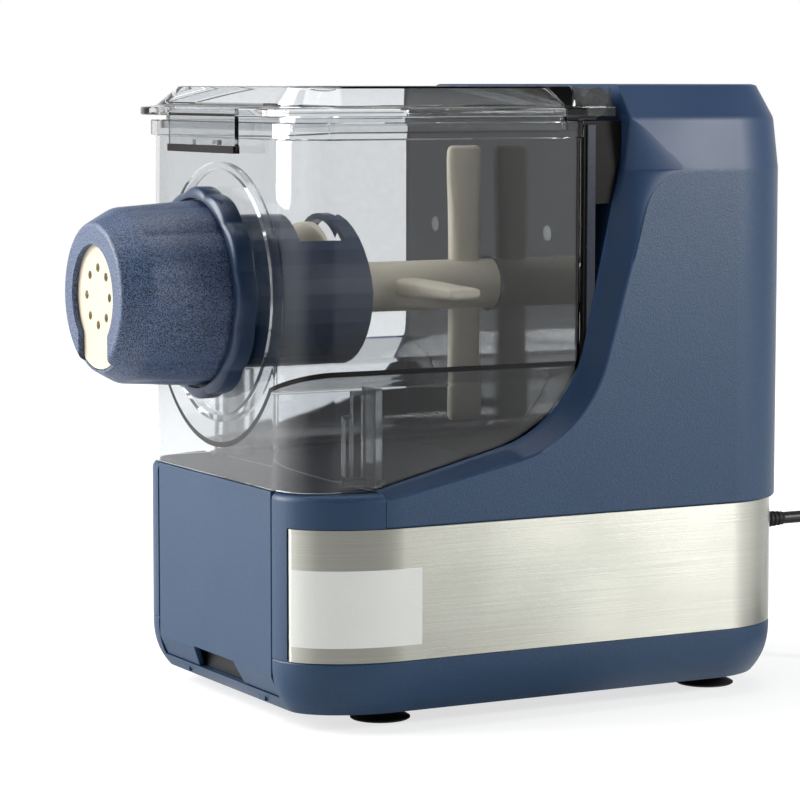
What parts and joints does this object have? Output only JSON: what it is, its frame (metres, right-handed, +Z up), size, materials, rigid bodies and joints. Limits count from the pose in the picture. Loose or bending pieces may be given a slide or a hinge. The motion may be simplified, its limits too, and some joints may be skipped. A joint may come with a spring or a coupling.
{
  "type": "electric pasta maker",
  "caption": "Electric pasta maker: clear mixing chamber with screw and arms, slanted motor tower, extrusion nozzle, drawer and mains cord.",
  "frame": {"origin": "centre of the footprint of the machine without its cord, on the surface it stands on", "axes": "+X from the nozzle at the front back to the motor tower, +Y to the side with the controls, +Z up"},
  "size_m": [0.4727, 0.2533, 0.292],
  "materials": {
    "navy_plastic": "fine matt grain",
    "navy_grain": "speckled coarse grain",
    "smoke_clear": "clear smoky plastic, polished",
    "black_plastic": "fine matt grain",
    "dark_wall": "satin",
    "brushed_steel": "brushed along the sheet",
    "turned_steel": "turned or cut, satin",
    "ivory_plastic": "smooth food plastic",
    "rubber": "soft black",
    "circuit_board": "solder mask"
  },
  "bodies": {
    "machine": {"base_tray": "navy_plastic", "steel_band": "brushed_steel", "front_frame": "navy_plastic", "main_housing": "navy_plastic", "drive_wall": "dark_wall", "wall_screw_1": "turned_steel", "wall_screw_2": "turned_steel", "wall_screw_3": "turned_steel", "wall_screw_4": "turned_steel", "foot_front_near": "rubber", "foot_front_far": "rubber", "foot_rear_near": "rubber", "foot_rear_far": "rubber", "gear_frame_front": "brushed_steel", "gear_frame_rear": "brushed_steel", "shaft_bush": "turned_steel", "idler_axle": "turned_steel", "motor": "turned_steel", "control_panel": "black_plastic", "display_window": "smoke_clear", "control_board": "circuit_board", "lid_switch": "black_plastic", "power_board": "circuit_board", "strain_relief": "rubber", "cord_lead": "rubber", "cord_coil": "rubber", "plug_body": "rubber", "plug_blade_near": "turned_steel", "plug_blade_far": "turned_steel"},
    "chamber": {"mixing_chamber": "smoke_clear", "trough_brace_near": "smoke_clear", "trough_brace_far": "smoke_clear", "hinge_block_near": "black_plastic", "hinge_block_far": "black_plastic", "hinge_pin": "turned_steel"},
    "lid": {"lid": "smoke_clear", "lid_hinge_bar": "black_plastic"},
    "latch": {"lid_latch": "smoke_clear"},
    "shaping_head": {"nozzle_cap": "navy_grain", "shaping_disc": "ivory_plastic", "extrusion_barrel": "dark_wall"},
    "ring": {"lock_ring": "navy_plastic"},
    "mixer": {"mixing_paddle": "ivory_plastic", "extruder_screw": "ivory_plastic"},
    "drawer": {"drawer_front": "navy_plastic", "drawer_tray": "navy_plastic", "spare_disc_1": "ivory_plastic", "spare_disc_2": "ivory_plastic", "spare_disc_3": "ivory_plastic"},
    "drive": {"output_shaft": "turned_steel", "output_gear": "turned_steel"},
    "idler": {"idler_pinion": "turned_steel", "idler_wheel": "ivory_plastic"},
    "rotor": {"motor_pinion": "turned_steel", "motor_shaft": "turned_steel", "cooling_fan": "black_plastic"},
    "knob": {"selector_knob": "brushed_steel"},
    "power_key": {"power_button": "turned_steel"},
    "start_key": {"start_button": "turned_steel"}
  },
  "joints": [
    {"name": "lid_hinge", "type": "hinge", "parent": "chamber", "child": "lid", "pos_m": [0.05075, -0.0065, 0.284], "axis": [0, 1, 0], "range_deg": [0, 88]},
    {"name": "latch_pivot", "type": "hinge", "parent": "lid", "child": "latch", "pos_m": [-0.10925, -0.0065, 0.2792], "axis": [0, 1, 0], "range_deg": [0, 60]},
    {"name": "chamber_slide", "type": "slide", "parent": "machine", "child": "chamber", "axis": [-1, 0, 0], "range_m": [0, 0.12]},
    {"name": "head_pull", "type": "slide", "parent": "chamber", "child": "shaping_head", "axis": [-1, 0, 0], "range_m": [0, 0.06]},
    {"name": "ring_turn", "type": "hinge", "parent": "shaping_head", "child": "ring", "pos_m": [-0.11575, -0.0065, 0.1954], "axis": [1, 0, 0], "range_deg": [0, 40]},
    {"name": "drawer_slide", "type": "slide", "parent": "machine", "child": "drawer", "axis": [-1, 0, 0], "range_m": [0, 0.1]},
    {"name": "output_spin", "type": "hinge", "parent": "machine", "child": "drive", "pos_m": [0.08325, -0.0065, 0.1954], "axis": [1, 0, 0], "continuous": true},
    {"name": "mixer_spin", "type": "hinge", "parent": "chamber", "child": "mixer", "pos_m": [0.04375, -0.0065, 0.1954], "axis": [1, 0, 0], "continuous": true},
    {"name": "idler_spin", "type": "hinge", "parent": "machine", "child": "idler", "pos_m": [0.08205, -0.0065, 0.1504], "axis": [1, 0, 0], "continuous": true},
    {"name": "motor_spin", "type": "hinge", "parent": "machine", "child": "rotor", "pos_m": [0.09325, -0.0065, 0.1204], "axis": [1, 0, 0], "continuous": true},
    {"name": "knob_turn", "type": "hinge", "parent": "machine", "child": "knob", "pos_m": [0.11275, 0.0924, 0.173], "axis": [0, 1, 0], "continuous": true},
    {"name": "power_press", "type": "slide", "parent": "machine", "child": "power_key", "axis": [0, -1, 0], "range_m": [0, 0.0015], "stiffness_N_per_m": 400},
    {"name": "start_press", "type": "slide", "parent": "machine", "child": "start_key", "axis": [0, -1, 0], "range_m": [0, 0.0015], "stiffness_N_per_m": 400}
  ],
  "couplings": [
    {"joint": "idler_spin", "follows": "motor_spin", "ratio": -0.25},
    {"joint": "output_spin", "follows": "motor_spin", "ratio": 0.0625},
    {"joint": "mixer_spin", "follows": "motor_spin", "ratio": 0.0625}
  ]
}
